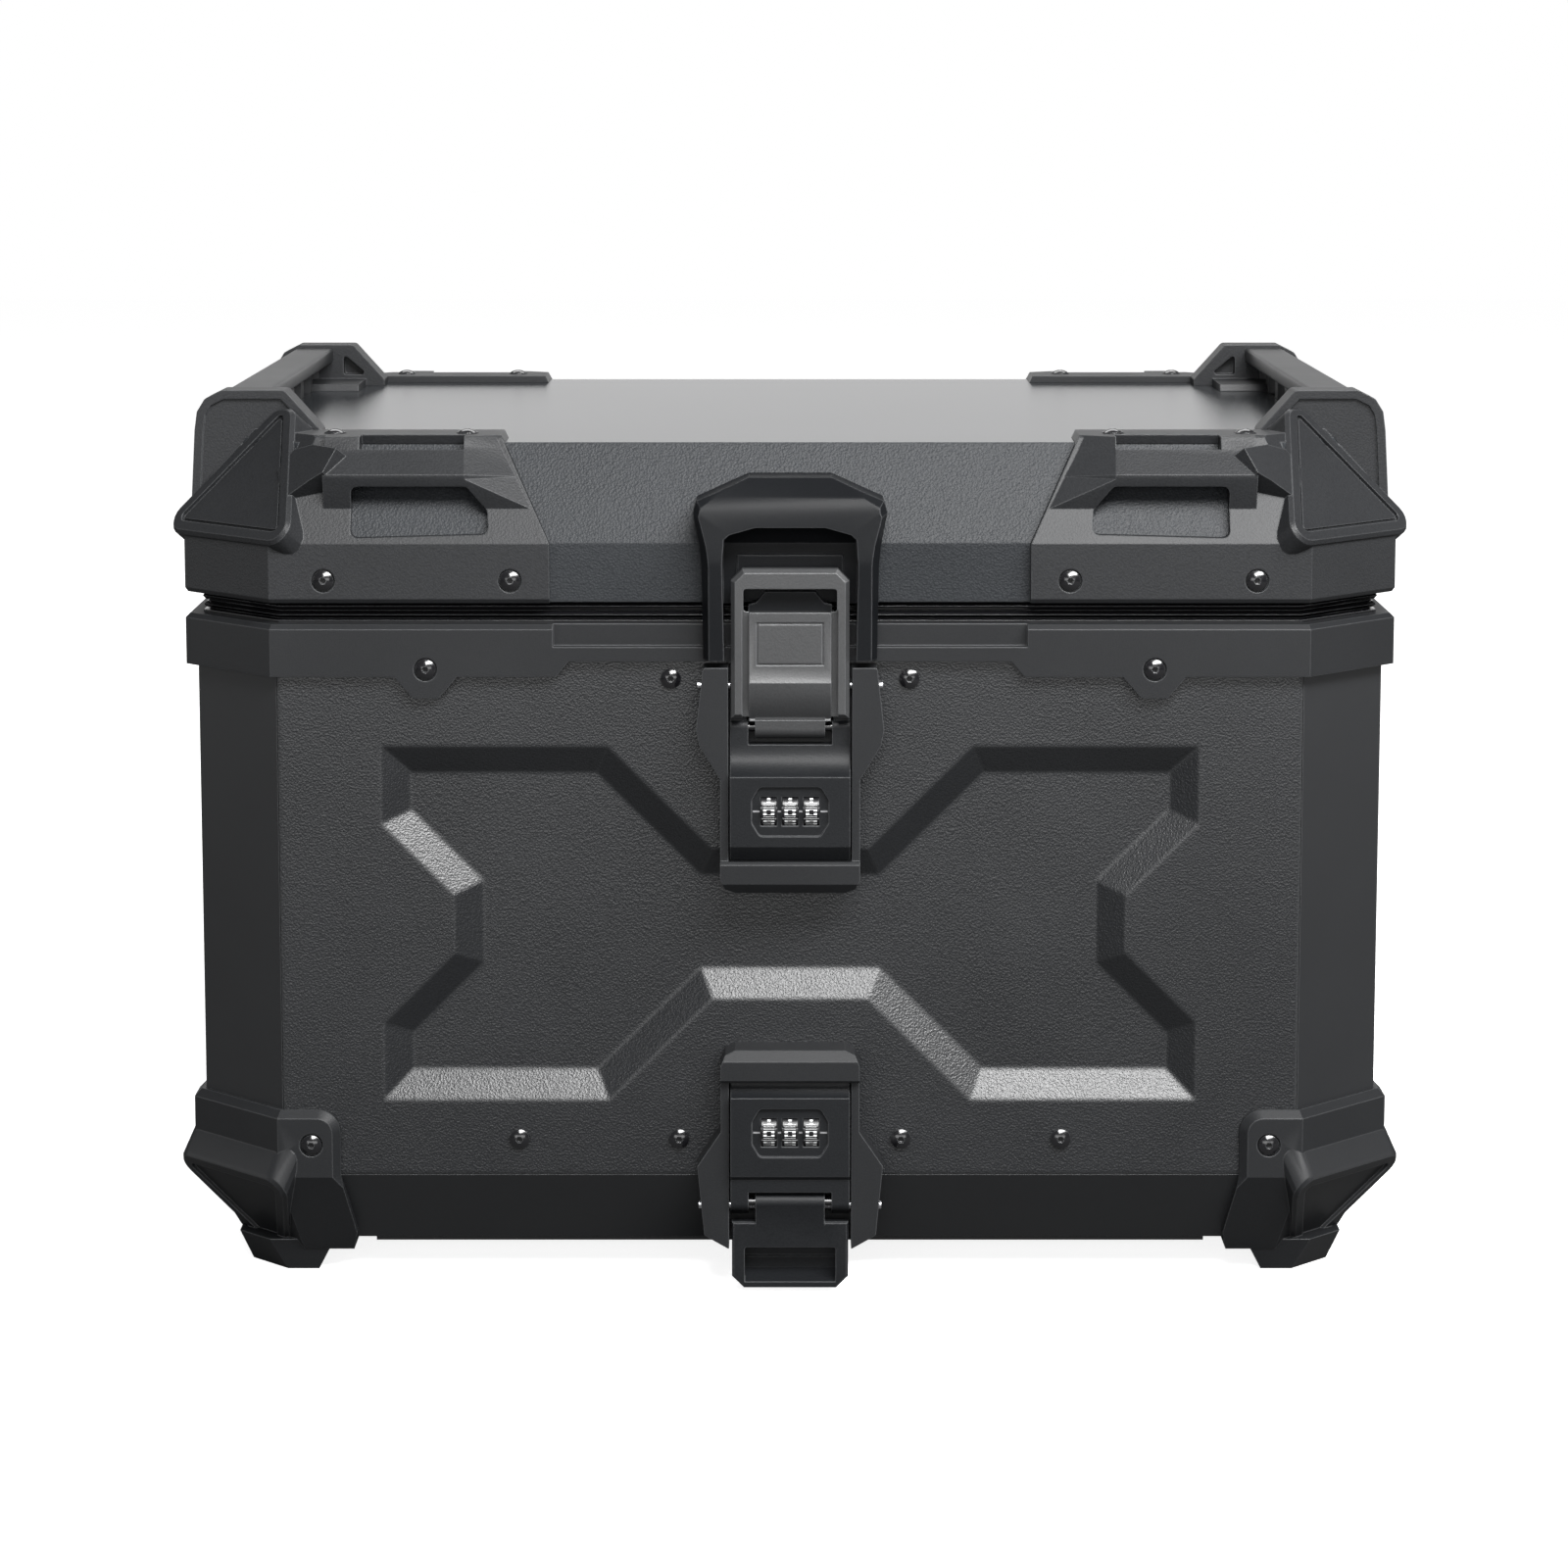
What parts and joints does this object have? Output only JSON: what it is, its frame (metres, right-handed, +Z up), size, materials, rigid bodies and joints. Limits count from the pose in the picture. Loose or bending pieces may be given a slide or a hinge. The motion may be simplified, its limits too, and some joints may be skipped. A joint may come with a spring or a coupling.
{
  "type": "motorcycle top case",
  "caption": "Hard luggage box with embossed sheet walls, moulded corner guards, grab rails, a rear-hinged lid and two combination draw latches.",
  "frame": {"origin": "centre of the case's bounding box, on the plane of its feet", "axes": "+X to the right seen from the latches, +Y from the latches towards the hinges, +Z up"},
  "size_m": [0.4334, 0.3536, 0.3105],
  "materials": {
    "grained_panel": "fine wrinkle-grain black powder coat",
    "satin_metal": "smooth satin black coating",
    "moulded_plastic": "fine matt moulded texture",
    "seal_rubber": "smooth",
    "black_steel": "glossy black oxide",
    "bright_steel": "turned",
    "wheel_plastic": "satin black with plain numbers"
  },
  "bodies": {
    "case": {"bottom_pan": "satin_metal", "dock_plate": "moulded_plastic", "front_panel": "grained_panel", "rear_panel": "grained_panel", "left_panel": "grained_panel", "right_panel": "grained_panel", "front_left_pillar": "moulded_plastic", "front_right_pillar": "moulded_plastic", "rear_left_pillar": "moulded_plastic", "rear_right_pillar": "moulded_plastic", "top_rim": "moulded_plastic", "rim_seal": "seal_rubber", "front_left_foot_guard": "moulded_plastic", "front_right_foot_guard": "moulded_plastic", "rear_left_foot_guard": "moulded_plastic", "rear_right_foot_guard": "moulded_plastic", "foot_guard_screws": "black_steel", "panel_screws": "black_steel", "rim_screws": "black_steel", "top_latch_base": "moulded_plastic", "bottom_latch_base": "moulded_plastic", "top_pivot_pin": "bright_steel", "bottom_pivot_pin": "bright_steel", "latch_back_plates": "black_steel", "body_hinge_leaves": "moulded_plastic", "hinge_pins": "bright_steel", "body_hinge_screws": "black_steel"},
    "lid": {"lid_shell": "grained_panel", "front_left_lid_guard": "moulded_plastic", "front_right_lid_guard": "moulded_plastic", "rear_left_lid_guard": "moulded_plastic", "rear_right_lid_guard": "moulded_plastic", "left_rail": "satin_metal", "right_rail": "satin_metal", "latch_hood": "moulded_plastic", "lid_catch": "moulded_plastic", "lid_guard_screws": "black_steel", "lid_hinge_leaves": "moulded_plastic", "lid_hinge_screws": "black_steel"},
    "top_handle": {"top_lock_block": "moulded_plastic", "top_link_pin": "bright_steel", "top_dial_axle": "bright_steel"},
    "top_bail": {"top_bail": "moulded_plastic"},
    "bottom_handle": {"bottom_lock_block": "moulded_plastic", "bottom_link_pin": "bright_steel", "bottom_dial_axle": "bright_steel"},
    "bottom_hook": {"bottom_hook": "moulded_plastic"},
    "top_left_wheel": {"top_left_wheel": "wheel_plastic"},
    "top_middle_wheel": {"top_middle_wheel": "wheel_plastic"},
    "top_right_wheel": {"top_right_wheel": "wheel_plastic"},
    "bottom_left_wheel": {"bottom_left_wheel": "wheel_plastic"},
    "bottom_middle_wheel": {"bottom_middle_wheel": "wheel_plastic"},
    "bottom_right_wheel": {"bottom_right_wheel": "wheel_plastic"}
  },
  "joints": [
    {"name": "lid_hinge", "type": "hinge", "parent": "case", "child": "lid", "pos_m": [0, 0.17225, 0.237], "axis": [-1, 0, 0], "range_deg": [0, 95]},
    {"name": "top_handle_pivot", "type": "hinge", "parent": "case", "child": "top_handle", "pos_m": [0, -0.16555, 0.2124], "axis": [-1, 0, 0], "range_deg": [0, 90]},
    {"name": "top_bail_link", "type": "hinge", "parent": "top_handle", "child": "top_bail", "pos_m": [0, -0.16635, 0.198], "axis": [-1, 0, 0], "range_deg": [-90, 0]},
    {"name": "bottom_handle_pivot", "type": "hinge", "parent": "case", "child": "bottom_handle", "pos_m": [0, -0.16635, 0.0294], "axis": [1, 0, 0], "range_deg": [0, 90]},
    {"name": "bottom_hook_link", "type": "hinge", "parent": "bottom_handle", "child": "bottom_hook", "pos_m": [0, -0.17185, 0.0319], "axis": [1, 0, 0], "range_deg": [-90, 0]},
    {"name": "top_left_wheel_turn", "type": "hinge", "parent": "top_handle", "child": "top_left_wheel", "pos_m": [-0.0073, -0.17035, 0.1701], "axis": [1, 0, 0], "continuous": true},
    {"name": "top_middle_wheel_turn", "type": "hinge", "parent": "top_handle", "child": "top_middle_wheel", "pos_m": [0, -0.17035, 0.1701], "axis": [1, 0, 0], "continuous": true},
    {"name": "top_right_wheel_turn", "type": "hinge", "parent": "top_handle", "child": "top_right_wheel", "pos_m": [0.0073, -0.17035, 0.1701], "axis": [1, 0, 0], "continuous": true},
    {"name": "bottom_left_wheel_turn", "type": "hinge", "parent": "bottom_handle", "child": "bottom_left_wheel", "pos_m": [-0.0073, -0.17035, 0.0573], "axis": [1, 0, 0], "continuous": true},
    {"name": "bottom_middle_wheel_turn", "type": "hinge", "parent": "bottom_handle", "child": "bottom_middle_wheel", "pos_m": [0, -0.17035, 0.0573], "axis": [1, 0, 0], "continuous": true},
    {"name": "bottom_right_wheel_turn", "type": "hinge", "parent": "bottom_handle", "child": "bottom_right_wheel", "pos_m": [0.0073, -0.17035, 0.0573], "axis": [1, 0, 0], "continuous": true}
  ],
  "couplings": [
    {"joint": "top_bail_link", "follows": "top_handle_pivot", "ratio": -1},
    {"joint": "bottom_hook_link", "follows": "bottom_handle_pivot", "ratio": -1}
  ]
}
